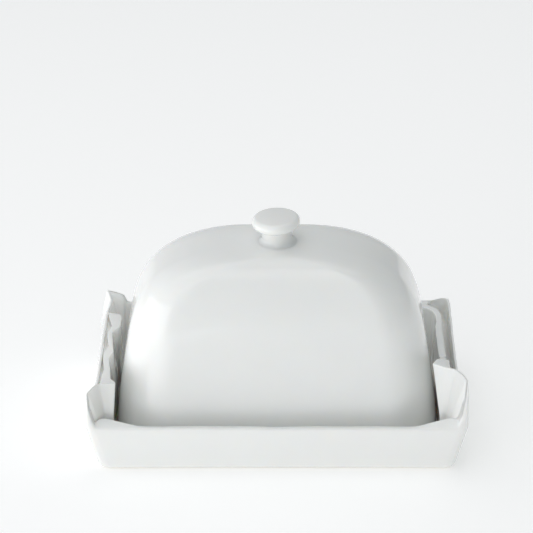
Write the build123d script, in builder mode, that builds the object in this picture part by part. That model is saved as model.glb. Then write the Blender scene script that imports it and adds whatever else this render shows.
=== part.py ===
from build123d import *
import math
import os

# Butter dish in glazed porcelain: a shallow tray whose two short ends carry tall folded flaps,
# like the opened ends of a paper butter wrapper, and a loaf-shaped lid with a round knob.
# Millimetres, +Z up. The origin is the middle of the foot, on the table. X runs along the dish,
# and -Y is the front long side.

# ---- Driving dimensions ----

# Tray
dish_length = 192.0  # over the rims of the two short ends
dish_width = 110.0  # over the rims of the two long walls
rim_height = 26.0  # rim of the long walls above the table
wall = 3.6  # tray walls, measured level
floor_thickness = 4.5
end_draft = 13.5  # degrees the short ends lean out
side_draft = 5.0  # degrees the long walls lean out
corner_radius = 5.0  # upright corners
heel_radius = 4.0  # outside edge where the walls meet the foot
floor_fillet = 3.0  # inside edge where the walls meet the floor
rim_round = 1.3
foot_ring = 9.0  # width of the flat ring that the dish stands on
foot_recess = 0.9

# Folded flaps on the short ends
flap_rise = 16.0  # general height of the flaps above the rim
flap_peak = 12.0  # room for the highest torn tips above that
flap_inset = 1.0  # from the end's rim to the outer ply, behind the dog-eared front corner
flap_lean = 9.5  # degrees the outer ply leans in above the rim
flap_end_gap = 0.7  # from the long walls' rims to the flaps' upright ends, and as much again on top
ear_lean = 4.0  # degrees the dog-eared front corner leans in
ear_width = 13.0  # of that corner, back from the front rim
groove_inset = 5.7  # outer ply at the rim, where it is thickest, from the end's rim to the groove
groove = 1.1  # gap between the outer and the inner ply
groove_depth = 15.0  # below the general height
groove_end = 12.0  # the plies join this far from the long walls' rims
ply = 0.8  # inner ply where it is thinnest, at the bottom of a fold
fold_depth = 5.0  # how far a fold of 1 stands in from there

# Lid
lid_gap = 1.0  # between the lid's foot and a fold of 1
lid_side_gap = 0.6  # between the lid's foot and the floor fillets, front and back
lid_height = 99.0  # from the lid's foot to the crown
lid_wall = 3.8
lid_draft = 9.2  # degrees its sides lean in
lid_skirt = 13.0  # its two ends turn from upright at the foot to that draft over about this height
lid_corner = 30.0  # upright corners in plan, at the foot
shoulder_power = 7.6  # along the dish: higher is a straighter side below the shoulder
crown_power = 2.6  # along the dish: higher is a flatter crown
shoulder_power_across = 4.8  # the same two, front to back
crown_power_across = 7.0
lid_foot_round = 1.2
crown_flat = 0.01  # share of the foot's size left as a small flat at the crown, under the knob
corner_limit = 0.9  # most that a plan corner may take of the half size

# Knob
knob_diameter = 24.4
knob_thickness = 4.4
knob_crown = 0.6  # doming of the knob's top
neck_diameter = 15.4
neck_height = 9.7  # from the lid's crown to the underside of the knob
neck_fillet = 2.5  # flare of the neck into the lid
knob_lean = 2.6  # degrees the hand-set knob leans, its right side higher

# ---- Sizes worked out from them ----

crease_reach = groove_inset + groove + ply  # bottom of the folds, in from the end's rim
end_reach = crease_reach + fold_depth  # to a fold of 1
foot_length = dish_length - 2 * rim_height * math.tan(math.radians(end_draft))
foot_width = dish_width - 2 * rim_height * math.tan(math.radians(side_draft))
flap_top = rim_height + flap_rise
flap_peak_top = flap_top + flap_peak
lid_half_length = dish_length / 2 - end_reach - lid_gap
floor_draft = (rim_height - floor_thickness) * math.tan(math.radians(side_draft))
floor_half_width = dish_width / 2 - wall - floor_draft - floor_fillet
lid_half_width = floor_half_width - lid_side_gap
crown_height = floor_thickness + lid_height

# Fold lines of the flaps, front to back. Each is (share of the dish's width back from the front rim,
# fold at the rim, the same share at the top, fold at the top), where a fold of 0 is the bottom of a
# crease and 1 is a ridge next to the lid's foot.
left_folds = [
    (0.092, 0.46, 0.110, 0.00),
    (0.105, 1.28, 0.135, 1.60),
    (0.360, 0.78, 0.385, 0.25),
    (0.430, 1.00, 0.430, 0.80),
    (0.560, 0.96, 0.580, 0.40),
    (0.630, 0.88, 0.655, 0.40),
    (0.690, 1.15, 0.710, 1.36),
    (0.800, 1.30, 0.790, 1.45),
    (0.860, 0.40, 0.865, 0.00),
    (0.935, 1.40, 0.940, 1.45),
]
right_folds = [
    (0.098, 0.74, 0.110, 0.00),
    (0.110, 1.32, 0.190, 2.25),
    (0.240, 1.20, 0.245, 1.60),
    (0.330, 0.90, 0.330, 1.15),
    (0.475, 0.95, 0.475, 1.13),
    (0.545, 0.95, 0.545, 1.10),
    (0.710, 0.90, 0.710, 1.00),
    (0.765, 0.90, 0.765, 0.75),
    (0.890, 1.00, 0.890, 1.30),
    (0.945, 1.50, 0.945, 1.80),
]

# Torn top edges: (share of the width back from the front rim, rise above the flaps' general height)
left_tear = [(0.0, 4.0), (0.11, 3.5), (0.375, 1.0), (0.575, 0.0), (0.665, -1.0)]
left_tear += [(0.835, -1.5), (0.92, -2.0), (0.97, 5.5), (1.0, -7.0)]
right_tear = [(0.0, 9.0), (0.118, 11.0), (0.185, 10.0), (0.265, 8.0), (0.32, 2.0)]
right_tear += [(0.475, 1.0), (0.71, -1.0), (0.93, -3.0), (1.0, -6.0)]

# Levels that the lid's shape is lofted through, as shares of its height, closer at the shoulder
loaf_levels = (0, 0.12, 0.25, 0.4, 0.55, 0.68, 0.78, 0.86, 0.92, 0.96, 0.985, 1)


# ---- Tray ----


def drafted_block(length, width, low, high, bottom_round):
    """A block that grows with the walls' draft; its length and width are those at the rim."""
    with BuildPart() as block:
        for height in (low, high):
            shrink = rim_height - height
            along = length - 2 * shrink * math.tan(math.radians(end_draft))
            across = width - 2 * shrink * math.tan(math.radians(side_draft))
            with BuildSketch(Plane.XY.offset(height)):
                RectangleRounded(along, across, corner_radius)
        loft(ruled=True)
        fillet(block.faces().sort_by(Axis.Z)[0].edges(), bottom_round)
    return block.part


tray_outside = drafted_block(dish_length, dish_width, 0, rim_height, heel_radius)
well_length = dish_length - 2 * wall
well_width = dish_width - 2 * wall
tray_well = drafted_block(well_length, well_width, floor_thickness, rim_height, floor_fillet)

with BuildPart() as tray:
    add(tray_outside)
    add(tray_well, mode=Mode.SUBTRACT)
    long_rims = tray.edges().filter_by(Axis.X).group_by(Axis.Z)[-1]
    fillet(long_rims, rim_round)
    with BuildSketch(Plane.XY):
        recess_length = foot_length - 2 * (heel_radius + foot_ring)
        recess_width = foot_width - 2 * (heel_radius + foot_ring)
        RectangleRounded(recess_length, recess_width, foot_ring)
    extrude(amount=foot_recess, mode=Mode.SUBTRACT)
tray.part.label = "tray"


# ---- Folded flaps ----


def flap_point(side, back, depth):
    """Plan position on a flap: side is -1 or 1, back is measured from the front rim, depth inwards
    from the short end's rim."""
    return (side * (dish_length / 2 - depth), back - dish_width / 2)

def flap_outline(side, folds, height):
    """Closed plan outline of a flap at a height above the rim: outer ply, then the fold lines."""
    top = height > 0
    lean = flap_inset + height * math.tan(math.radians(flap_lean))
    end_gap = 2 * flap_end_gap if top else flap_end_gap
    points = [flap_point(side, end_gap, height * math.tan(math.radians(ear_lean)))]
    points += [flap_point(side, ear_width, lean), flap_point(side, dish_width - end_gap, lean)]
    for low_share, low_fold, high_share, high_fold in reversed(folds):
        share, fold = (high_share, high_fold) if top else (low_share, low_fold)
        points.append(flap_point(side, share * dish_width, crease_reach + fold * fold_depth))
    return points

def build_flap(side, folds, tear):
    """One short end's flap, which stands in the tray's well and on the end wall's rim."""
    with BuildPart() as flap:
        # inside the well, down to the floor
        add(tray_well)
        with BuildSketch(Plane.XY.offset(floor_thickness)):
            with BuildLine():
                Polyline(*flap_outline(side, folds, 0), close=True)
            make_face()
        extrude(amount=rim_height - floor_thickness, mode=Mode.INTERSECT)
        # above the rim
        for height in (0, flap_rise + flap_peak):
            with BuildSketch(Plane.XY.offset(rim_height + height)):
                with BuildLine():
                    Polyline(*flap_outline(side, folds, height), close=True)
                make_face()
        loft(ruled=True)
        # groove between the two plies
        groove_middle = side * (dish_length / 2 - groove_inset - groove / 2)
        with BuildSketch(Plane(origin=(groove_middle, 0, flap_top - groove_depth))):
            Rectangle(groove, dish_width - 2 * groove_end)
        extrude(amount=flap_peak_top, mode=Mode.SUBTRACT)
        # torn top edge
        edge = [(dish_width * (share - 0.5), flap_top + rise) for share, rise in tear]
        sky = 2 * flap_peak_top
        with BuildSketch(Plane.YZ):
            with BuildLine():
                Polyline((edge[0][0], sky), *edge, (edge[-1][0], sky), close=True)
            make_face()
        extrude(amount=dish_length, both=True, mode=Mode.SUBTRACT)
    return flap.part


left_flap = build_flap(-1, left_folds, left_tear)
left_flap.label = "left_flap"
right_flap = build_flap(1, right_folds, right_tear)
right_flap.label = "right_flap"


# ---- Lid ----


def loaf(half_length, half_width, rise):
    """The lid's domed loaf shape, lofted from its foot up through level rounded rectangles.

    Each half size is its foot size, less the draft, times a share that falls from 1 at the foot to
    nearly 0 at the crown along a superellipse, whose powers set the shoulder and the crown.
    """
    slope = math.tan(math.radians(lid_draft))
    with BuildPart() as block:
        for level in loaf_levels:
            height = rise * level
            upright = lid_skirt * (1 - math.exp(-height / lid_skirt))
            share = 1 - (1 - crown_flat) * level**shoulder_power
            share_across = 1 - (1 - crown_flat) * level**shoulder_power_across
            along = (half_length - slope * (height - upright)) * share ** (1 / crown_power)
            across = (half_width - slope * height) * share_across ** (1 / crown_power_across)
            corner = min(lid_corner * across / half_width, corner_limit * min(along, across))
            with BuildSketch(Plane.XY.offset(floor_thickness + height)):
                RectangleRounded(2 * along, 2 * across, corner)
        loft()
    return block.part

lid_outside = loaf(lid_half_length, lid_half_width, lid_height)
lid_hollow = loaf(lid_half_length - lid_wall, lid_half_width - lid_wall, lid_height - lid_wall)

with BuildPart() as lid_shell:
    add(lid_outside)
    add(lid_hollow, mode=Mode.SUBTRACT)
    fillet(lid_shell.faces().sort_by(Axis.Z)[0].edges(), lid_foot_round)
lid_shell.part.label = "lid_shell"


# ---- Knob ----

lean = math.radians(knob_lean)
knob_plane = Plane(origin=(0, 0, crown_height), x_dir=(math.cos(lean), 0, math.sin(lean)), z_dir=(0, -1, 0))
neck = neck_diameter / 2
rim_centre = (knob_diameter - knob_thickness) / 2
knob_top = neck_height + knob_thickness

with BuildPart() as lid_knob:
    with BuildSketch(knob_plane):
        with BuildLine():
            Line((0, -neck_fillet), (neck + neck_fillet, -neck_fillet))
            Line((neck + neck_fillet, -neck_fillet), (neck + neck_fillet, 0))
            RadiusArc((neck + neck_fillet, 0), (neck, neck_fillet), neck_fillet)
            Line((neck, neck_fillet), (neck, neck_height))
            Line((neck, neck_height), (rim_centre, neck_height))
            rim_middle = (knob_diameter / 2, neck_height + knob_thickness / 2)
            ThreePointArc((rim_centre, neck_height), rim_middle, (rim_centre, knob_top))
            TangentArc((0, knob_top + knob_crown), (rim_centre, knob_top), tangent=(1, 0))
            Line((0, knob_top + knob_crown), (0, -neck_fillet))
        make_face()
    revolve(axis=Axis(knob_plane.origin, knob_plane.y_dir))
    split(bisect_by=Plane.XY.offset(crown_height), keep=Keep.TOP)
lid_knob.part.label = "lid_knob"


# ---- Files ----

os.makedirs("parts", exist_ok=True)
for piece in (tray.part, left_flap, right_flap, lid_shell.part, lid_knob.part):
    export_step(piece, f"parts/{piece.label}.step")
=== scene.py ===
"""Looks of a white porcelain butter dish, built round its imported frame.

The base is one glazed casting: a shallow tray whose short ends rise as folded, torn flaps. The lid is a
loaf-shaped shell with a waisted knob. All sizes are in millimetres and turned to metres in one place.
"""

import logging
import math
from dataclasses import dataclass
from enum import Enum

import bpy
import numpy as np
from mathutils import Matrix, Vector, noise

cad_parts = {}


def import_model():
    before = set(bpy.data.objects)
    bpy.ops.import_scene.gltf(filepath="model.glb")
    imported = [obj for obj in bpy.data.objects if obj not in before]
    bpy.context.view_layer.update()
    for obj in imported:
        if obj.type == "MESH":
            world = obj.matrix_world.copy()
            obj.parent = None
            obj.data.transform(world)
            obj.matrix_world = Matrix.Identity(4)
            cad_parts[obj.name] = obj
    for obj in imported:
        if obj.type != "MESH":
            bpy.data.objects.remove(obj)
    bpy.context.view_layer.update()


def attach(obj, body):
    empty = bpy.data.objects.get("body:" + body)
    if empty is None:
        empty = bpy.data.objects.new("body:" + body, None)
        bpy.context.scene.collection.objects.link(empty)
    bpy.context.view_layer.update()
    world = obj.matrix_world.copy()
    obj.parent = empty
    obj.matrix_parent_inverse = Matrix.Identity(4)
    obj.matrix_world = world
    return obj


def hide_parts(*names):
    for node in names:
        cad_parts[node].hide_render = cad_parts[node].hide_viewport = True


MM = 0.001
TINY = 1e-6  # keeps a division from failing
MIX_A, MIX_B, MIX_OUT = 6, 7, 2  # a Mix node's colour sockets
LOG = logging.getLogger("butter_dish")


# ---- Small helpers ----


def smooth(value: np.ndarray) -> np.ndarray:
    """Return the smoothstep of a value held between 0 and 1."""
    held = np.clip(value, 0.0, 1.0)
    return held * held * (3.0 - 2.0 * held)


def srgb(code: str) -> tuple[float, float, float, float]:
    """Turn an sRGB hex colour into linear light.

    Args:
        code: Six hex digits, such as "f2f3f1".

    Returns:
        Linear red, green, blue and an alpha of 1.
    """
    parts = [int(code[i:i + 2], 16) / 255 for i in (0, 2, 4)]
    linear = [p / 12.92 if p <= 0.04045 else ((p + 0.055) / 1.055) ** 2.4 for p in parts]
    return (*linear, 1.0)


def new_tree(owner: bpy.types.Material | bpy.types.World) -> bpy.types.NodeTree:
    """Switch a material or a world to nodes and return its tree, emptied."""
    owner.use_nodes = True
    owner.node_tree.nodes.clear()
    return owner.node_tree


def add_node(
    tree: bpy.types.NodeTree, kind: str, links: dict[str | int, object] | None = None, **settings: object
) -> bpy.types.Node:
    """Add one shader node with its settings and links.

    Args:
        tree: The node tree that gets the node.
        kind: The node's type name, such as "ShaderNodeTexNoise".
        links: Input name or number to an output socket of another node.
        settings: Input values by name (spaces as underscores), or attributes of the node.

    Returns:
        The new node.
    """
    node = tree.nodes.new(kind)
    for name, value in settings.items():
        if hasattr(node, name):
            setattr(node, name, value)
        else:
            node.inputs[name.replace("_", " ")].default_value = value
    for name, output in (links or {}).items():
        tree.links.new(output, node.inputs[name])
    return node


def quarter(count: int) -> np.ndarray:
    """Return evenly spread angles from 0 to a right angle."""
    return np.linspace(0, math.pi / 2, count)


def grid_object(name: str, rings: np.ndarray) -> bpy.types.Object:
    """Build a closed skin from rings of points, capped at both ends.

    Args:
        name: The object's name.
        rings: Points in millimetres, shaped (rings, points round, 3).

    Returns:
        The new object, shaded smooth, in the scene.
    """
    count, around, _ = rings.shape
    index = np.arange(count * around).reshape(count, around)
    after = np.roll(index, -1, axis=1)
    quads = np.stack([index[:-1], after[:-1], after[1:], index[1:]], axis=-1).reshape(-1, 4)
    faces = quads.tolist()
    faces.append(index[0][::-1].tolist())
    faces.append(index[-1].tolist())
    mesh = bpy.data.meshes.new(name)
    mesh.from_pydata((rings.reshape(-1, 3) * MM).tolist(), [], faces)
    mesh.validate()
    mesh.polygons.foreach_set("use_smooth", np.ones(len(mesh.polygons), bool))
    mesh.update()
    piece = bpy.data.objects.new(name, mesh)
    bpy.context.scene.collection.objects.link(piece)
    return piece


def hand_made(points: np.ndarray, amount: float, wavelength: float, seed: float) -> np.ndarray:
    """Shift points by a slow, soft noise, as hand-finished clay is never quite true.

    Args:
        points: Points in millimetres, shaped (..., 3).
        amount: The most that a point moves along each axis, in millimetres.
        wavelength: Distance over which the noise changes, in millimetres.
        seed: Moves the noise, so that pieces differ.

    Returns:
        The shifted points, in the same shape.
    """
    flat = points.reshape(-1, 3)
    place = flat / wavelength + seed
    shift = np.array([noise.noise_vector(Vector(p)) for p in place])
    return (flat + amount * shift).reshape(points.shape)


# ---- Finishes ----


@dataclass(frozen=True)
class GlazedPorcelain:
    """Hard porcelain, slip-cast, bisque fired and dipped in a clear glossy glaze.

    The body is a cool white that lets a little light in, so thin torn edges stay bright. The glaze gives
    a clean reflection that wanders slightly where it pooled, and it is wiped off the foot ring.
    """

    body: str = "f9faf7"
    pooled: str = "f4f5f3"
    bisque: str = "e6e0d4"
    roughness: float = 0.35
    ior: float = 1.52
    glaze_wave: float = 9.0  # mm between the slow swells of the glaze
    pinhole_spacing: float = 7.0  # mm between specks, real ones are finer and rarer
    swell_depth: float = 0.35  # mm, most of it flattened by the bump's strength
    foot_height: float = 0.5  # mm of bare clay above the table
    bisque_roughness: float = 0.75
    translucency: float = 0.35
    light_reach: float = 4.0  # mm that light travels in the clay
    coat_roughness: float = 0.03

    def build(self, name: str) -> bpy.types.Material:
        """Make the material.

        Args:
            name: The material's name.

        Returns:
            A node material.
        """
        material = bpy.data.materials.new(name)
        tree = new_tree(material)
        wave = 1 / (self.glaze_wave * MM)
        place = add_node(tree, "ShaderNodeTexCoord").outputs["Object"]
        swell = add_node(tree, "ShaderNodeTexNoise", {"Vector": place}, Scale=wave, Detail=2.0)
        cloud = add_node(tree, "ShaderNodeTexNoise", {"Vector": place}, Scale=0.35 * wave, Detail=3.0)
        specks = add_node(
            tree, "ShaderNodeTexVoronoi", {"Vector": place}, Scale=1 / (self.pinhole_spacing * MM)
        )
        speck = add_node(
            tree, "ShaderNodeMapRange", {"Value": specks.outputs["Distance"]},
            interpolation_type="SMOOTHSTEP", From_Min=0.02, From_Max=0.05, To_Min=0.55, To_Max=0.0,
        )
        tint = add_node(tree, "ShaderNodeMix", {"Factor": cloud.outputs["Fac"]}, data_type="RGBA")
        tint.inputs[MIX_A].default_value = srgb(self.body)
        tint.inputs[MIX_B].default_value = srgb(self.pooled)
        axes = add_node(tree, "ShaderNodeSeparateXYZ", {"Vector": place})
        bare = add_node(
            tree, "ShaderNodeMapRange", {"Value": axes.outputs["Z"]},
            From_Min=self.foot_height * MM, From_Max=1.4 * self.foot_height * MM, To_Min=1.0, To_Max=0.0,
        )
        colour = add_node(
            tree, "ShaderNodeMix", {"Factor": bare.outputs["Result"], MIX_A: tint.outputs[MIX_OUT]},
            data_type="RGBA",
        )
        colour.inputs[MIX_B].default_value = srgb(self.bisque)
        gloss = add_node(
            tree, "ShaderNodeMapRange", {"Value": bare.outputs["Result"]},
            To_Min=self.roughness, To_Max=self.bisque_roughness,
        )
        height = add_node(
            tree, "ShaderNodeMath", {0: swell.outputs["Fac"], 1: speck.outputs["Result"]}, operation="SUBTRACT"
        )
        bump = add_node(
            tree, "ShaderNodeBump", {"Height": height.outputs["Value"]},
            Strength=0.10, Distance=self.swell_depth * MM,
        )
        looks = {
            "Base Color": colour.outputs[MIX_OUT],
            "Roughness": gloss.outputs["Result"],
            "Normal": bump.outputs["Normal"],
        }
        shader = add_node(
            tree, "ShaderNodeBsdfPrincipled", looks,
            IOR=self.ior, Subsurface_Weight=self.translucency, Subsurface_Scale=self.light_reach * MM,
            Subsurface_Radius=(1.0, 0.85, 0.7), Coat_Weight=1.0, Coat_Roughness=self.coat_roughness,
        )
        add_node(tree, "ShaderNodeOutputMaterial", {"Surface": shader.outputs["BSDF"]})
        return material


@dataclass(frozen=True)
class PaperSweep:
    """A white matt paper backdrop that the dish stands on, which throws light back up."""

    colour: str = "f6f6f6"
    glow: float = 0.27  # the paper is lit from below too, so that it reads as plain white
    grain: float = 1.5  # mm, coarser than real paper's

    def build(self, name: str) -> bpy.types.Material:
        """Make the material.

        Args:
            name: The material's name.

        Returns:
            A node material.
        """
        material = bpy.data.materials.new(name)
        tree = new_tree(material)
        place = add_node(tree, "ShaderNodeTexCoord").outputs["Object"]
        tooth = add_node(tree, "ShaderNodeTexNoise", {"Vector": place}, Scale=1 / (self.grain * MM), Detail=2.0)
        bump = add_node(
            tree, "ShaderNodeBump", {"Height": tooth.outputs["Fac"]}, Strength=0.05, Distance=0.05 * MM
        )
        shader = add_node(
            tree, "ShaderNodeBsdfPrincipled", {"Normal": bump.outputs["Normal"]},
            Roughness=0.95, Base_Color=srgb(self.colour), Emission_Color=srgb("ffffff"),
            Emission_Strength=self.glow,
        )
        add_node(tree, "ShaderNodeOutputMaterial", {"Surface": shader.outputs["BSDF"]})
        return material


# ---- Lid ----


@dataclass
class Lid:
    """The loaf-shaped cover and its knob, which lift off together."""

    foot_level: float = 4.5
    height: float = 99.0
    half_length: float = 82.4
    half_width: float = 45.9
    wall: float = 3.8
    draft: float = 9.2  # degrees
    skirt: float = 13.0  # the two ends turn from upright to the draft over this height
    shoulder_power: float = 7.6
    crown_power: float = 2.6
    shoulder_power_across: float = 4.8
    crown_power_across: float = 7.0
    corner: float = 30.0  # of the level outline at the foot
    flat_share: float = 0.99  # below 1, it leaves a small flat on the crown
    around: int = 256
    rings: int = 120
    knob_diameter: float = 24.4
    knob_thickness: float = 5.6
    knob_crown: float = 0.6
    neck_diameter: float = 15.4
    neck_height: float = 7.9
    neck_flare: float = 3.0
    neck_hollow: float = 1.6  # radius between the neck and the disc's underside
    knob_lean: float = 2.6  # degrees, right side higher

    def half_sizes(self, level: np.ndarray, inset: float) -> tuple[np.ndarray, np.ndarray]:
        """Work out the lid's half length and half width at a share of its height.

        Args:
            level: Share of the height, 0 at the foot and 1 at the crown.
            inset: How far inside the outer skin, in millimetres.

        Returns:
            The half length and the half width, in millimetres.
        """
        rise = (self.height - inset) * level
        slope = math.tan(math.radians(self.draft))
        upright = self.skirt * (1 - np.exp(-rise / self.skirt))
        drop = 1 - self.flat_share * level**self.shoulder_power
        drop_across = 1 - self.flat_share * level**self.shoulder_power_across
        along = (self.half_length - inset - slope * (rise - upright)) * drop ** (1 / self.crown_power)
        across = (self.half_width - inset - slope * rise) * drop_across ** (1 / self.crown_power_across)
        return along, across

    def levels(self, count: int, inset: float) -> np.ndarray:
        """Spread levels evenly along the skin from the foot to the crown.

        Args:
            count: How many levels.
            inset: How far inside the outer skin, in millimetres.

        Returns:
            Shares of the height, rising.
        """
        dense = 1 - np.linspace(1, 0.004, 4000) ** 3
        along, across = self.half_sizes(dense, inset)
        steps = np.hypot(np.diff((along + across) / 2), np.diff(dense * self.height))
        run = np.concatenate([[0], np.cumsum(steps)])
        return np.interp(np.linspace(0, 1, count), run / run[-1], dense)

    def outline(self, along: float, across: float) -> np.ndarray:
        """Trace a level outline, a rectangle with round corners, with its points spread evenly.

        Args:
            along: Half length in millimetres.
            across: Half width in millimetres.

        Returns:
            Points shaped (around, 2).
        """
        corner = min(self.corner * across / self.half_width, 0.9 * min(along, across))
        turn = quarter(400)
        x = np.concatenate([[along], along - corner + corner * np.cos(turn), [0.0]])
        y = np.concatenate([[0.0], across - corner + corner * np.sin(turn), [across]])
        run = np.concatenate([[0], np.cumsum(np.hypot(np.diff(x), np.diff(y)))])
        share = np.linspace(0, run[-1], self.around // 4, endpoint=False)
        corner_points = np.stack([np.interp(share, run, x), np.interp(share, run, y)], axis=-1)
        back = np.stack([-np.interp(run[-1] - share, run, x), np.interp(run[-1] - share, run, y)], axis=-1)
        half = np.concatenate([corner_points, back])
        return np.concatenate([half, -half])

    def skin(self, count: int, inset: float) -> np.ndarray:
        """Make the rings of the outer or the inner skin, foot first.

        Args:
            count: How many rings.
            inset: How far inside the outer skin, in millimetres.

        Returns:
            Points shaped (count, around, 3).
        """
        rings = []
        for level in self.levels(count, inset):
            along, across = self.half_sizes(np.float64(level), inset)
            flat = self.outline(float(along), float(across))
            height = self.foot_level + (self.height - inset) * level
            rings.append(np.column_stack([flat, np.full(len(flat), height)]))
        return np.array(rings)

    def surface_height(self, x: float, y: float) -> float:
        """Find the outer skin's height over a place near the crown, in millimetres."""
        low, high = 0.5, 1.0 - 1e-9
        for _ in range(50):
            middle = (low + high) / 2
            along, across = self.half_sizes(np.float64(middle), 0.0)
            inside = (abs(x) / along) ** 2.4 + (abs(y) / across) ** 2.4 < 1
            low, high = (middle, high) if inside else (low, middle)
        return self.foot_level + self.height * low

    def build_shell(self) -> bpy.types.Object:
        """Build the hollow cover as one closed skin with a rounded foot."""
        outside = self.skin(self.rings, 0.0)
        inside = self.skin(self.rings * 2 // 3, self.wall)
        radius = self.wall / 2
        lip = []
        for turn in np.linspace(0, math.pi, 11):
            share = (1 - math.cos(turn)) / 2
            ring = outside[0] * (1 - share) + inside[0] * share
            ring[:, 2] = self.foot_level + radius * (1 - math.sin(turn))
            lip.append(ring)
        clear_of_lip = self.foot_level + 1.05 * radius
        outside = outside[outside[:, 0, 2] > clear_of_lip]
        inside = inside[inside[:, 0, 2] > clear_of_lip]
        rings = np.concatenate([outside[::-1], np.array(lip), inside])
        rings = hand_made(rings, 0.30, 46.0, 3.1)
        rings = hand_made(rings, 0.07, 15.0, 8.7)
        return grid_object("lid_cover", rings[:, ::-1])

    def build_knob(self) -> bpy.types.Object:
        """Build the knob as a turned form whose flare meets the crown."""
        rim, neck = self.knob_diameter / 2, self.neck_diameter / 2
        top, under = self.neck_height + self.knob_thickness, self.neck_height
        edge = self.knob_thickness / 2
        flat = rim - edge
        profile = [(r, top + self.knob_crown * (1 - (r / flat) ** 2)) for r in np.linspace(0.4, flat, 14)]
        for turn in np.linspace(0.12, math.pi - 0.12, 18):
            profile.append((flat + edge * math.sin(turn), under + edge + edge * math.cos(turn)))
        for turn in quarter(8):
            hollow = self.neck_hollow * (1 - math.sin(turn))
            profile.append((neck + hollow, under - self.neck_hollow * (1 - math.cos(turn)) * 0.9))
        for height in np.linspace(0.75 * under, self.neck_flare, 6):
            profile.append((neck, height))
        flare = self.neck_flare
        lean = Matrix.Rotation(-math.radians(self.knob_lean), 3, "Y")
        angles = np.linspace(0, 2 * math.pi, 128, endpoint=False)
        crown = self.foot_level + self.height
        rings = []
        for radius, height in profile:
            ring = [lean @ Vector((radius * math.cos(a), radius * math.sin(a), height)) for a in angles]
            rings.append([(p.x, p.y, p.z + crown) for p in ring])
        for turn in quarter(16)[1:]:
            reach, lift = neck + flare * (1 - math.cos(turn)), flare * (1 - math.sin(turn))
            share = turn / (math.pi / 2)
            ring = []
            for a in angles:
                p = lean @ Vector((reach * math.cos(a), reach * math.sin(a), 0))
                level = (crown + p.z) * (1 - share) + self.surface_height(p.x, p.y) * share
                ring.append((p.x, p.y, level + lift - 0.2 * share**8))
            rings.append(ring)
        skin = hand_made(np.array(rings), 0.10, 14.0, 5.5)
        return grid_object("lid_grip", skin[:, ::-1])


# ---- Base ----


class End(Enum):
    """Which short end of the dish a fold line belongs to."""

    LEFT = -1
    RIGHT = 1


@dataclass(frozen=True)
class FoldLine:
    """One upright line round the base, where a crease, a ridge or a torn edge runs.

    Places are (in from the end's rim, back from the front rim), and rises are above the rim.
    """

    outer_rim: tuple[float, float]
    outer_top: tuple[float, float]
    outer_rise: float
    inner_rim: tuple[float, float]
    inner_top: tuple[float, float]
    inner_rise: float
    groove: float = 0.0  # 1 where the two plies stand apart
    groove_far: float = 0.0  # in from the end's rim to the inner ply's far side
    spacing: float = 0.55  # of the columns from here to the next line


PLAIN_STEP = 3.0  # mm between columns on the long sides

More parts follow.
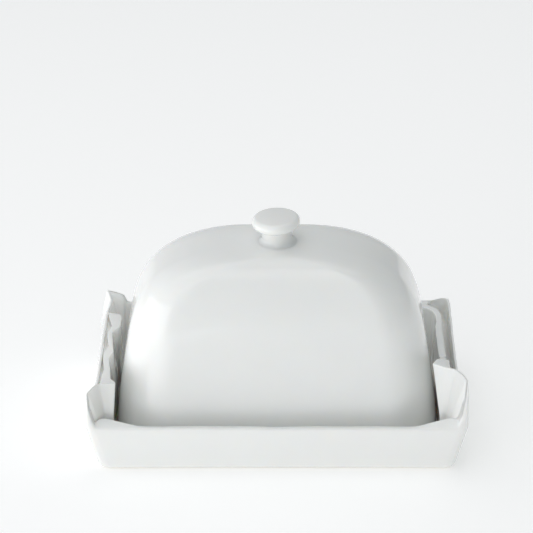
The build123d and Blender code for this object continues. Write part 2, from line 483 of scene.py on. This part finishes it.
LEFT_FOLDS = (
    FoldLine((27, 0), (27, 0), 0, (27, 3.6), (27, 3.6), 0, spacing=1.2),
    FoldLine((16, 0), (16, 0), 0, (16, 4.0), (15.5, 6.2), 1.8, spacing=0.9),
    FoldLine((10.5, 0), (10.5, 0), 0, (10.5, 4.3), (10.2, 7.2), 2.7),
    FoldLine((7.4, 0), (7.4, 0), 0.1, (7.9, 4.5), (7.6, 6.3), 3.0),
    FoldLine((5.2, 0), (5.3, 0.3), 0.8, (6.4, 5.0), (5.4, 3.9), 2.4),
    FoldLine((2.6, 0.5), (3.4, 1.3), 4.6, (6.5, 5.4), (4.3, 3.1), 4.8),
    FoldLine((1.1, 1.5), (2.1, 0.9), 10.5, (6.6, 5.9), (3.2, 2.5), 10.6),
    FoldLine((0.3, 3.2), (1.6, 0.4), 20.6, (6.8, 6.4), (2.7, 1.6), 20.4),
    FoldLine((0.3, 6.4), (3.1, 5.0), 20.3, (8.2, 8.2), (4.5, 6.2), 20.3),
    FoldLine((0.9, 9.4), (4.6, 9.6), 19.8, (9.9, 10.2), (6.3, 11.2), 19.8),
    FoldLine((1.4, 11.4), (4.7, 12.0), 17.6, (12.0, 10.0), (10.8, 12.0), 19.3, 0.2, 7.4),
    FoldLine((1.6, 13.2), (4.7, 14.2), 17.0, (14.0, 9.9), (15.1, 13.0), 18.8, 0.2, 7.4),
    FoldLine((1.8, 15.6), (4.7, 17.0), 16.8, (13.8, 12.6), (14.8, 15.6), 18.2, 0.2, 7.4),
    FoldLine((1.9, 20.0), (4.8, 21.0), 16.6, (13.0, 18.0), (12.2, 19.8), 17.6, 0.2, 7.3),
    FoldLine((2.0, 30.0), (4.9, 30.0), 16.4, (12.4, 30.0), (11.3, 30.0), 17.2, 0.2, 8.1),
    FoldLine((2.0, 41.0), (5.0, 41.0), 16.2, (12.6, 40.0), (9.9, 41.5), 17.0, 0.2, 6.9),
    FoldLine((2.0, 48.0), (5.1, 48.0), 16.1, (13.1, 46.0), (12.0, 47.5), 17.0, 0.2, 6.9),
    FoldLine((2.0, 54.0), (5.1, 54.0), 16.0, (13.1, 55.0), (11.4, 54.0), 16.8, 0.2, 9.1),
    FoldLine((2.0, 61.0), (5.1, 61.0), 15.9, (12.9, 61.0), (11.0, 61.0), 16.6, 0.2, 8.4),
    FoldLine((2.0, 66.0), (5.2, 66.0), 15.7, (12.2, 66.0), (10.5, 66.0), 16.2, 0.2, 7.9),
    FoldLine((2.0, 71.0), (5.2, 71.0), 15.5, (12.0, 71.0), (10.5, 71.5), 15.8, 0.2, 7.8),
    FoldLine((2.0, 74.0), (5.3, 74.0), 15.4, (13.0, 73.5), (13.0, 74.2), 15.6, 0.2, 8.6),
    FoldLine((2.0, 78.0), (5.3, 78.0), 15.2, (13.8, 77.5), (14.3, 78.0), 15.4, 0.2, 9.6),
    FoldLine((2.0, 86.0), (5.4, 85.0), 14.8, (14.2, 86.0), (14.2, 87.0), 15.0, 0.2, 8.0),
    FoldLine((2.0, 91.0), (5.4, 90.5), 14.5, (13.4, 91.0), (13.6, 91.2), 14.8, 0.15, 6.9),
    FoldLine((2.0, 95.0), (5.4, 94.6), 14.2, (9.0, 95.0), (7.0, 95.3), 14.0),
    FoldLine((1.8, 98.5), (6.3, 98.8), 14.6, (11.0, 97.6), (8.2, 99.4), 14.6),
    FoldLine((1.0, 102.5), (7.2, 103.4), 16.8, (12.4, 99.6), (9.0, 103.0), 16.6),
    FoldLine((0.6, 105.6), (4.8, 107.8), 20.9, (13.2, 100.8), (6.5, 106.5), 20.5),
    FoldLine((1.7, 108.4), (9.5, 108.6), 19.4, (13.9, 101.6), (9.8, 106.9), 19.0),
    FoldLine((4.8, 109.9), (14.6, 108.3), 17.7, (14.2, 102.6), (14.0, 106.4), 17.4),
    FoldLine((8.5, 110), (16.0, 108.9), 13.7, (14.8, 104.6), (15.4, 106.8), 13.5),
    FoldLine((17, 110), (17.4, 109.1), 12.8, (17, 106.3), (17.4, 107.0), 12.8, spacing=0.9),
    FoldLine((21, 110), (21, 109.3), 13.3, (21, 106.4), (21, 107.1), 13.3, spacing=1.4),
    FoldLine((30, 110), (30, 109.6), 9.0, (30, 106.4), (30, 107.0), 9.0, spacing=1.4),
    FoldLine((42, 110), (42, 110), 0, (42, 106.4), (42, 106.4), 0, spacing=PLAIN_STEP),
)

RIGHT_FOLDS = (
    FoldLine((26, 0), (26, 0), 0, (26, 3.6), (26, 3.6), 0, spacing=1.2),
    FoldLine((17, 0), (17, 0), 0, (17, 4.0), (16.6, 6.0), 1.6, spacing=0.9),
    FoldLine((11, 0), (11, 0), 0, (11, 4.3), (10.8, 7.0), 2.5),
    FoldLine((8.0, 0), (8.0, 0.1), 0.3, (9.5, 4.9), (8.4, 6.6), 3.3),
    FoldLine((5.4, 0), (5.6, 0.4), 1.6, (8.7, 5.5), (6.0, 4.5), 4.0),
    FoldLine((2.6, 0.5), (3.4, 1.0), 7.0, (8.9, 6.2), (4.8, 3.4), 7.2),
    FoldLine((1.1, 1.5), (2.0, 0.8), 16.0, (9.2, 7.2), (3.4, 2.4), 16.0),
    FoldLine((0.3, 3.2), (1.4, 0.6), 27.6, (9.6, 8.4), (2.9, 1.9), 27.4),
    FoldLine((0.3, 6.4), (2.8, 5.5), 27.8, (10.4, 9.8), (4.5, 6.2), 27.8),
    FoldLine((0.9, 9.4), (4.9, 10.4), 27.8, (11.3, 10.8), (7.4, 11.3), 27.8),
    FoldLine((1.4, 12.0), (4.8, 14.0), 22.5, (12.8, 10.8), (12.6, 14.8), 27.0, 0.5, 9.3),
    FoldLine((1.7, 14.6), (4.6, 19.0), 18.0, (14.2, 10.9), (18.2, 20.2), 26.0, 1, 9.5),
    FoldLine((1.8, 20.0), (4.4, 24.0), 16.6, (14.2, 15.0), (15.6, 26.4), 25.0, 1, 9.3),
    FoldLine((1.9, 30.0), (4.2, 32.0), 16.2, (13.4, 26.0), (14.0, 32.0), 21.8, 1, 9.2),
    FoldLine((1.9, 40.0), (4.0, 40.0), 16.0, (12.9, 38.0), (13.0, 40.0), 18.4, 1, 9.2),
    FoldLine((1.9, 50.0), (3.8, 50.0), 16.0, (12.8, 50.0), (13.0, 50.0), 17.2, 1, 9.1),
    FoldLine((1.9, 60.0), (3.6, 60.0), 15.8, (12.7, 60.0), (12.9, 60.0), 16.6, 1, 8.9),
    FoldLine((1.9, 70.0), (3.4, 70.0), 15.4, (12.5, 70.0), (12.6, 70.0), 16.0, 1, 8.7),
    FoldLine((1.9, 78.0), (3.2, 78.0), 15.0, (12.4, 78.0), (12.5, 78.0), 15.2, 1, 8.6),
    FoldLine((2.0, 84.0), (3.1, 84.0), 14.6, (12.2, 84.0), (11.6, 84.0), 14.8, 1, 8.4),
    FoldLine((2.0, 92.0), (3.0, 92.0), 14.2, (12.0, 91.0), (11.4, 90.5), 14.4, 1, 8.2),
    FoldLine((2.0, 98.0), (2.6, 98.0), 14.0, (13.0, 96.5), (13.0, 96.0), 14.2, 1, 9.4),
    FoldLine((1.6, 102.0), (2.6, 102.5), 14.6, (15.4, 98.8), (15.4, 98.6), 14.0, 1, 11.4),
    FoldLine((0.9, 105.4), (3.4, 106.4), 16.0, (17.5, 100.5), (17.5, 100.3), 13.8, 0.9, 14.2),
    FoldLine((1.7, 108.4), (6.5, 107.9), 15.4, (19.5, 102.5), (19.5, 102.0), 13.6, 0.5, 16.0),
    FoldLine((4.8, 109.9), (11.0, 108.7), 13.6, (21.0, 104.6), (21.0, 104.0), 13.4),
    FoldLine((12, 110), (16.0, 109.1), 13.3, (23.0, 106.0), (23.0, 106.0), 13.2, spacing=0.9),
    FoldLine((22, 110), (22, 109.3), 13.4, (26, 106.4), (26, 106.6), 13.2, spacing=1.4),
    FoldLine((32, 110), (32, 109.6), 9.0, (32, 106.4), (32, 107.0), 9.0, spacing=1.4),
    FoldLine((44, 110), (44, 110), 0, (44, 106.4), (44, 106.4), 0, spacing=PLAIN_STEP),
)


# The recess's edge: places across it, and their share of the recess's depth
RECESS_EDGE = ((1.0, 1.0), (0.5, 0.82 / 0.9), (0.15, 0.55 / 0.9), (0.0, 0.3 / 0.9), (-0.3, 0.08 / 0.9), (-0.8, 0.0))
# The groove's two sides: places across each, and their share of the groove's depth
GROOVE_IN = (
    (-0.35, 0.0), (-0.18, 0.015), (-0.06, 0.06), (0.0, 0.16),
    (0.03, 0.4), (0.05, 0.7), (0.08, 0.92), (0.2, 1.0),
)
GROOVE_OUT = (
    (-0.2, 1.0), (-0.08, 0.92), (-0.05, 0.7), (-0.03, 0.4),
    (0.0, 0.16), (0.08, 0.06), (0.22, 0.015), (0.45, 0.0),
)
FLOOR_SHARES = (0.87, 0.75, 0.55, 0.35, 0.18, 0.06)


@dataclass
class Base:
    """The tray and its two folded ends, cast and fired as one piece."""

    half_length: float = 96.0
    half_width: float = 55.0
    rim: float = 26.0
    floor: float = 4.5
    end_draft: float = 13.5  # degrees
    side_draft: float = 5.0
    heel: float = 4.0
    foot_ring: float = 9.0
    recess: float = 0.9
    wall: float = 3.6
    floor_fillet: float = 3.0
    floor_corner: float = 9.0
    rim_round: float = 1.25
    outer_ply: float = 1.25  # at its top
    groove_floor: float = 2.0  # above the rim
    well_draft: float = 5.2  # the end walls' inside, in from rim to floor

    def columns(self) -> dict[str, np.ndarray]:
        """Run the fold lines once round the dish and fill in the columns between them.

        Returns:
            Arrays by name: plan points shaped (columns, 2), and rises, groove and reach shaped (columns,).
        """
        loop = [(End.LEFT, line, line.spacing) for line in LEFT_FOLDS]
        gaps = [line.spacing for line in RIGHT_FOLDS]
        gaps_back = [*reversed(gaps[:-1]), PLAIN_STEP]
        loop += [(End.RIGHT, line, gap) for line, gap in zip(reversed(RIGHT_FOLDS), gaps_back)]
        rows, steps = [], []
        for end, line, step in loop:
            row = []
            for depth, back in (line.outer_rim, line.outer_top, line.inner_rim, line.inner_top):
                row += [end.value * (self.half_length - depth), back - self.half_width]
            row += [line.outer_rise, line.inner_rise, line.groove, max(line.groove_far - line.outer_top[0], 0)]
            rows.append(row)
            steps.append(step)
        table = np.array(rows, float)
        filled = []
        for number, row in enumerate(table):
            after = table[(number + 1) % len(table)]
            spans = [math.hypot(*(after[k:k + 2] - row[k:k + 2])) for k in (0, 2, 4, 6)]
            spans += [abs(after[8] - row[8]), abs(after[9] - row[9])]
            count = max(2, math.ceil(max(spans) / steps[number]))
            for part in range(count):
                filled.append(row + (after - row) * part / count)
        dense = np.array(filled)
        for _ in range(2):
            dense = 0.5 * dense + 0.25 * (np.roll(dense, 1, 0) + np.roll(dense, -1, 0))
        return {
            "outer_rim": dense[:, 0:2], "outer_top": dense[:, 2:4],
            "inner_rim": dense[:, 4:6], "inner_top": dense[:, 6:8],
            "outer": self.rim + dense[:, 8], "inner": self.rim + dense[:, 9],
            "groove": dense[:, 10], "far": dense[:, 11],
        }

    @property
    def foot_scale(self) -> np.ndarray:
        """Return how much smaller the foot's length and width are than the rim's."""
        length_share = 1 - self.rim * math.tan(math.radians(self.end_draft)) / self.half_length
        width_share = 1 - self.rim * math.tan(math.radians(self.side_draft)) / self.half_width
        return np.array([length_share, width_share])

    def to_middle(self, plan: np.ndarray) -> np.ndarray:
        """Return vectors from plan points to the dish's long middle line."""
        spine = self.half_length - self.half_width
        target = np.stack([np.clip(plan[:, 0], -spine, spine), np.zeros(len(plan))], axis=-1)
        return target - plan

    def toward_middle(self, plan: np.ndarray) -> np.ndarray:
        """Return unit vectors from plan points to the dish's long middle line."""
        way = self.to_middle(plan)
        return way / np.maximum(np.linalg.norm(way, axis=1, keepdims=True), TINY)

    def shrink(self, plan: np.ndarray, share: np.ndarray | float) -> np.ndarray:
        """Move plan points a share of the way to the dish's long middle line."""
        return plan + self.to_middle(plan) * share

    def held_inside(self, plan: np.ndarray, half: np.ndarray, corner: float) -> np.ndarray:
        """Draw plan points in toward the dish's middle line until they lie inside a round-cornered rectangle.

        Args:
            plan: Plan points in millimetres.
            half: The rectangle's half length and half width.
            corner: Its corner radius.

        Returns:
            The plan points, moved where they lay outside.
        """
        low, high = np.zeros(len(plan)), np.ones(len(plan))
        for _ in range(30):
            middle = (low + high) / 2
            place = self.shrink(plan, middle[:, None])
            past = np.linalg.norm(np.maximum(np.abs(place) - (half - corner), 0), axis=1)
            low, high = np.where(past > corner, middle, low), np.where(past > corner, high, middle)
        return self.shrink(plan, high[:, None])

    @staticmethod
    def ring(plan: np.ndarray, height: np.ndarray | float) -> np.ndarray:
        """Join plan points and a height into points shaped (columns, 3)."""
        return np.column_stack([plan, np.broadcast_to(height, len(plan))])

    @staticmethod
    def round_over(place: np.ndarray, edge: np.ndarray) -> np.ndarray:
        """Return how far a rounded edge drops, at a place in from it."""
        return edge - np.sqrt(np.maximum(edge**2 - np.clip(edge - place, 0, edge) ** 2, 0))

    def foot_rings(self, c: dict[str, np.ndarray]) -> list[np.ndarray]:
        """Make the underside: the recess, the foot ring and the rounded heel."""
        outline = c["outer_rim"] * self.foot_scale
        ring_in = self.heel + self.foot_ring
        way = self.toward_middle(outline)
        middle = outline + way * ring_in
        rings = [self.ring(self.shrink(middle, share), self.recess) for share in (0.94, 0.7, 0.45, 0.2, 0.05)]
        for extra, share in RECESS_EDGE:
            rings.append(self.ring(outline + way * (ring_in + extra), share * self.recess))
        rings += [self.ring(outline + way * inset, 0.0) for inset in (9.0, 6.0)]
        for turn in quarter(8)[:-1]:
            height = self.heel * (1 - math.cos(turn))
            plan = outline + (c["outer_rim"] - outline) * height / self.rim
            rings.append(self.ring(plan + way * self.heel * (1 - math.sin(turn)), height))
        return rings

    def outer_rings(self, c: dict[str, np.ndarray], edge: np.ndarray) -> list[np.ndarray]:
        """Make the outside, from the heel up to the rounded top edge."""
        foot = c["outer_rim"] * self.foot_scale
        top = c["outer"] - edge
        rings = []
        for share in np.linspace(0, 1, 26):
            height = self.heel + (top - self.heel) * share
            low = np.clip(height / self.rim, 0, 1)[:, None]
            high = np.clip((height - self.rim) / np.maximum(c["outer"] - self.rim, 0.5), 0, 1)[:, None]
            plan = foot + (c["outer_rim"] - foot) * low + (c["outer_top"] - c["outer_rim"]) * high
            rings.append(self.ring(plan, height))
        return rings

    def top_rings(self, c: dict[str, np.ndarray], edge: np.ndarray) -> list[np.ndarray]:
        """Make the top: the outer ply's edge, the groove between the plies, and the inner ply's edge."""
        across = c["inner_top"] - c["outer_top"]
        width = np.linalg.norm(across, axis=1)
        way = across / np.maximum(width, TINY)[:, None]
        small = np.clip(width / 4.0, 0.2, 1.0)
        groove = smooth(6 * c["groove"])
        near = self.outer_ply * groove + 0.42 * width * (1 - groove)
        far = np.where(c["groove"] > 0.02, c["far"], 0.6 * width)
        far = far * groove + 0.6 * width * (1 - groove)
        far = np.clip(far, near + 0.5 * small, width - 0.9 * small)
        depth = c["groove"] * (np.minimum(c["outer"], c["inner"]) - self.rim - self.groove_floor)
        stations: list[tuple[np.ndarray, float]] = []
        for turn in quarter(6)[1:]:
            stations.append((edge * (1 - math.cos(turn)), 0.0))
        stations += [(near + offset * small, drop) for offset, drop in GROOVE_IN]
        stations += [(far + offset * small, drop) for offset, drop in GROOVE_OUT]
        inner_near = far + GROOVE_OUT[-1][0] * small
        for share in (0.33, 0.66):
            stations.append((inner_near + (width - edge - inner_near) * share, 0.0))
        for turn in quarter(6):
            stations.append((width - edge * (1 - math.sin(turn)), 0.0))
        rings = []
        for place, drop in stations:
            share = np.clip(place / np.maximum(width, TINY), 0, 1)
            round_out = self.round_over(np.minimum(place, width / 2), edge)
            round_in = self.round_over(np.minimum(width - place, width / 2), edge)
            step = np.where(groove > 0.5, np.where(place < (near + far) / 2, 0.0, 1.0), share)
            blend = step * groove + share * (1 - groove)
            level = c["outer"] + (c["inner"] - c["outer"]) * blend
            floor_level = np.minimum(c["outer"], c["inner"]) - depth
            height = level + (floor_level - level) * drop * groove - round_out - round_in
            rings.append(self.ring(c["outer_top"] + way * place[:, None], height))
        return rings

    def inner_rings(self, c: dict[str, np.ndarray], edge: np.ndarray) -> list[np.ndarray]:
        """Make the inside, from the inner ply's edge down to the floor's middle."""
        rim_plan = c["inner_rim"]
        floor_x = self.half_length - self.wall - self.well_draft
        side_slope = math.tan(math.radians(self.side_draft))
        floor_y = self.half_width - self.wall - (self.rim - self.floor) * side_slope
        floor_plan = self.held_inside(rim_plan, np.array([floor_x, floor_y]), self.floor_corner)
        top, bottom = c["inner"] - edge, self.floor + self.floor_fillet
        rings = []
        for share in np.linspace(0, 1, 26)[1:]:
            height = top + (bottom - top) * share
            low = np.clip((height - self.floor) / (self.rim - self.floor), 0, 1)[:, None]
            high = np.clip((height - self.rim) / np.maximum(c["inner"] - self.rim, 0.5), 0, 1)[:, None]
            plan = floor_plan + (rim_plan - floor_plan) * low + (c["inner_top"] - rim_plan) * high
            rings.append(self.ring(plan, height))
        way = self.toward_middle(floor_plan)
        for turn in quarter(7)[1:]:
            height = self.floor + self.floor_fillet * (1 - math.sin(turn))
            low = (height - self.floor) / (self.rim - self.floor)
            plan = floor_plan + (rim_plan - floor_plan) * low + way * self.floor_fillet * (1 - math.cos(turn))
            rings.append(self.ring(plan, height))
        edge_plan = floor_plan + way * self.floor_fillet
        oval = self.floor_oval(edge_plan)
        return rings + [self.ring(oval * share, self.floor) for share in FLOOR_SHARES]

    @staticmethod
    def floor_oval(edge_plan: np.ndarray) -> np.ndarray:
        """Spread the floor's edge points once round a squarish oval, so that no fold reaches the flat floor.

        Args:
            edge_plan: The floor's edge, in the columns' order.

        Returns:
            Plan points on the oval, one for each column.
        """
        half = np.abs(edge_plan).max(axis=0)
        count = len(edge_plan)
        turn = np.unwrap(np.arctan2(edge_plan[:, 1] / half[1], edge_plan[:, 0] / half[0]))
        ramp = -2 * math.pi * np.arange(count) / count
        wander = np.minimum.accumulate(turn) - turn[0] - ramp
        for _ in range(6):
            wander = (wander + np.roll(wander, 1) + np.roll(wander, -1)) / 3
        turn = turn[0] + ramp + 0.97 * wander
        reach = (np.cos(turn) ** 4 + np.sin(turn) ** 4) ** -0.25
        return np.stack([half[0] * reach * np.cos(turn), half[1] * reach * np.sin(turn)], axis=-1)

    def build(self) -> bpy.types.Object:
        """Build the whole base as one closed skin."""
        c = self.columns()
        width = np.linalg.norm(c["inner_top"] - c["outer_top"], axis=1)
        plain = np.minimum(self.rim_round, 0.45 * width)
        edge = plain + (0.5 * self.outer_ply - plain) * smooth(6 * c["groove"])
        rings = self.foot_rings(c)
        foot_count = len(rings)
        rings += self.outer_rings(c, edge)
        rings += self.top_rings(c, edge)
        rings += self.inner_rings(c, edge)
        skin = np.array(rings)
        for _ in range(2):
            beside = (np.roll(skin, 1, 1) + np.roll(skin, -1, 1)) / 2
            part = slice(foot_count, -len(FLOOR_SHARES))
            skin[part] += 0.4 * (beside[part] - skin[part])
        moved = hand_made(skin, 0.35, 24.0, 1.7)
        fade = smooth((skin[..., 2:3] - 1.0) / 20.0)
        skin = skin + (moved - skin) * fade
        reach = np.array([self.half_length - 0.05, self.half_width - 0.15])
        skin[..., :2] = np.clip(skin[..., :2], -reach, reach)
        return grid_object("base_casting", skin)


# ---- Studio ----


@dataclass
class Studio:
    """White paper floor, two softboxes at the left, one in front, one overhead, and the camera."""

    aim: tuple[float, float, float] = (-5.25, 0.0, 88.6)
    distance: float = 1116.0
    pitch: float = 28.0  # degrees down
    lens: float = 148.6  # for a 36 mm sensor

    def build_camera(self) -> None:
        """Set the camera at the viewing angle."""
        data = bpy.data.cameras.new("camera")
        data.lens = self.lens
        data.sensor_width = 36.0
        data.clip_end = 20.0
        camera = bpy.data.objects.new("camera", data)
        tilt = math.radians(self.pitch)
        back = Vector((0, -math.cos(tilt), math.sin(tilt))) * self.distance
        camera.location = (Vector(self.aim) + back) * MM
        camera.rotation_euler = (math.pi / 2 - tilt, 0, 0)
        bpy.context.scene.collection.objects.link(camera)
        bpy.context.scene.camera = camera

    def build_light(
        self, name: str, place: tuple[float, ...], size: tuple[float, float], watts: float, aim: float
    ) -> bpy.types.Object:
        """Hang one white softbox that faces the dish.

        Args:
            name: The light's name.
            place: Its middle, in millimetres.
            size: Its width and height, in millimetres.
            watts: Its power.
            aim: Height over the dish's middle that it faces, in millimetres.

        Returns:
            The light.
        """
        data = bpy.data.lights.new(name, "AREA")
        data.shape = "RECTANGLE"
        data.size, data.size_y = size[0] * MM, size[1] * MM
        data.energy = watts
        data.color = srgb("ffffff")[:3]
        light = bpy.data.objects.new(name, data)
        light.location = Vector(place) * MM
        way = Vector((0, 0, aim * MM)) - light.location
        light.rotation_euler = way.to_track_quat("-Z", "Y").to_euler()
        bpy.context.scene.collection.objects.link(light)
        return light

    def build_world(self) -> None:
        """Give the room a soft pale light, dimmer towards the right."""
        world = bpy.data.worlds.new("room")
        bpy.context.scene.world = world
        tree = new_tree(world)
        way = add_node(tree, "ShaderNodeTexCoord").outputs["Generated"]
        axes = add_node(tree, "ShaderNodeSeparateXYZ", {"Vector": way})
        side = add_node(
            tree, "ShaderNodeMapRange", {"Value": axes.outputs["X"]},
            interpolation_type="SMOOTHSTEP", From_Min=-0.6, From_Max=0.9,
        )
        shade = add_node(tree, "ShaderNodeMix", {"Factor": side.outputs["Result"]}, data_type="RGBA")
        shade.inputs[MIX_A].default_value = srgb("f6f8fa")
        shade.inputs[MIX_B].default_value = srgb("b6bbba")
        room = add_node(tree, "ShaderNodeBackground", {"Color": shade.outputs[MIX_OUT]}, Strength=0.64)
        add_node(tree, "ShaderNodeOutputWorld", {"Surface": room.outputs[0]})

    def build_floor(self) -> bpy.types.Object:
        """Lay the paper floor."""
        mesh = bpy.data.meshes.new("paper_floor")
        reach = 4.0
        corners = [(-reach, -reach, 0), (reach, -reach, 0), (reach, reach, 0), (-reach, reach, 0)]
        mesh.from_pydata(corners, [], [(0, 1, 2, 3)])
        floor = bpy.data.objects.new("paper_floor", mesh)
        floor.location.z = -0.05 * MM
        floor.data.materials.append(PaperSweep().build("paper"))
        bpy.context.scene.collection.objects.link(floor)
        return floor

    def build(self) -> None:
        """Build the whole studio."""
        self.build_camera()
        self.build_world()
        self.build_floor()
        self.build_light("left_softbox", (-782, -304, 165), (1270, 330), 1.9, 165)
        low = self.build_light("low_left_softbox", (-452, -423, 3), (700, 1100), 1.5, 3)
        # It lies just over the paper, faces up and is unseen; the lid's left front reflects it
        low.rotation_euler = (math.pi, 0, math.radians(12))
        low.visible_camera = False
        self.build_light("front_softbox", (-150, -1100, 1150), (1200, 800), 2.0, 50)
        self.build_light("top_softbox", (-100, 150, 1300), (1400, 1200), 3.0, 50)
        bpy.context.scene.view_settings.view_transform = "Standard"


def main() -> None:
    """Build every piece round the frame, dress it and report it."""
    logging.basicConfig(level=logging.INFO, format="%(message)s")
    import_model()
    glaze = GlazedPorcelain().build("glazed_porcelain")
    lid = Lid()
    pieces = (
        (Base().build(), "base", ("tray", "left_flap", "right_flap")),
        (lid.build_shell(), "lid", ("lid_shell",)),
        (lid.build_knob(), "lid", ("lid_knob",)),
    )
    for piece, body, nodes in pieces:
        piece.data.materials.append(glaze)
        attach(piece, body)
        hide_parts(*nodes)
        LOG.info("%s: %d faces, rides on %s", piece.name, len(piece.data.polygons), body)
    Studio().build()


if __name__ == "__main__":
    main()
